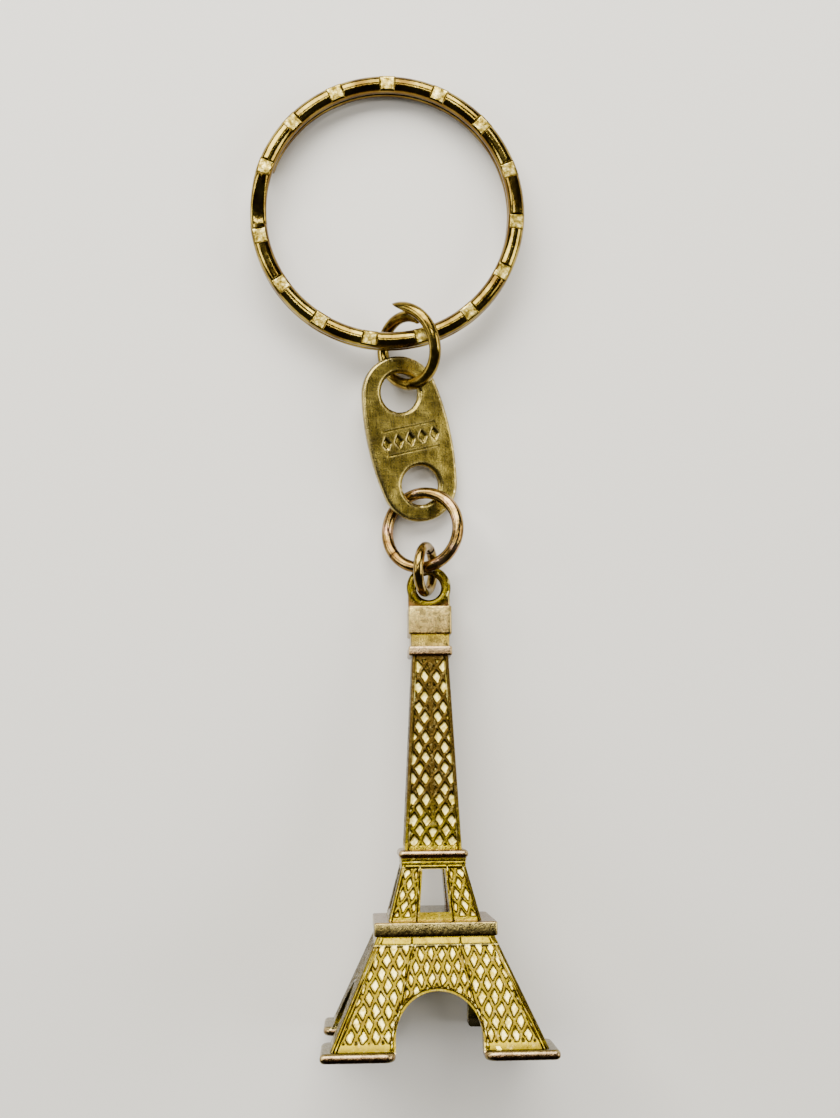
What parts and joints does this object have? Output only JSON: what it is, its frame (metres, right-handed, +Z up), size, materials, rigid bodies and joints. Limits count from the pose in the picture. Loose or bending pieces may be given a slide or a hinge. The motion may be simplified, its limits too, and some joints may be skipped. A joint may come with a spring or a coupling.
{
  "type": "keychain",
  "caption": "Souvenir keychain: a notched split key ring, a linking ring, a stamped oval tab and jump rings carrying a small cast lattice tower on four legs.",
  "frame": {"origin": "on the table under the middle of the chain's overall box, as it lies on its back", "axes": "+Z up from the table, +Y along the chain from the tower's feet to the key ring, +X to the right as seen from above"},
  "size_m": [0.0292, 0.0982, 0.0215],
  "materials": {
    "antique_brass": "antique plated, polished on the high spots",
    "tarnished_brass": "tarnished brown wire",
    "aged_brass": "aged, satin, finely scratched",
    "copper_brass": "worn through to copper in places",
    "worn_brass": "worn brown wire",
    "gilt_casting": "bright gilt plating on a casting, worn on the edges"
  },
  "bodies": {
    "tower": {"tower": "gilt_casting"},
    "small_ring": {"small_ring": "worn_brass"},
    "middle_ring": {"middle_ring": "copper_brass"},
    "tab": {"tab": "aged_brass"},
    "linking_ring": {"linking_ring": "tarnished_brass"},
    "key_ring": {"key_ring": "antique_brass"}
  },
  "joints": [
    {"name": "small_ring_swing", "type": "hinge", "parent": "tower", "child": "small_ring", "pos_m": [0.00361, -0.00138, 0.00185], "axis": [1, 0.0019, 0], "range_deg": [-40, 10]},
    {"name": "middle_ring_swing", "type": "hinge", "parent": "small_ring", "child": "middle_ring", "pos_m": [0.00261, -0.00101, 0.00327], "axis": [-0.9048, 0, -0.4258], "range_deg": [-35, 60]},
    {"name": "tab_swing", "type": "hinge", "parent": "middle_ring", "child": "tab", "pos_m": [0.00329, 0.00663, 0.00183], "axis": [0.9048, 0, 0.4258], "range_deg": [-40, 10]},
    {"name": "linking_ring_swing", "type": "hinge", "parent": "tab", "child": "linking_ring", "pos_m": [0.00178, 0.01768, 0.00276], "axis": [-0.7382, -0.0206, -0.6743], "range_deg": [-12, 75]},
    {"name": "key_ring_swing", "type": "hinge", "parent": "linking_ring", "child": "key_ring", "pos_m": [0.00128, 0.02214, 0.003], "axis": [0.9892, 0.1464, -0.0092], "range_deg": [-20, 50]}
  ]
}
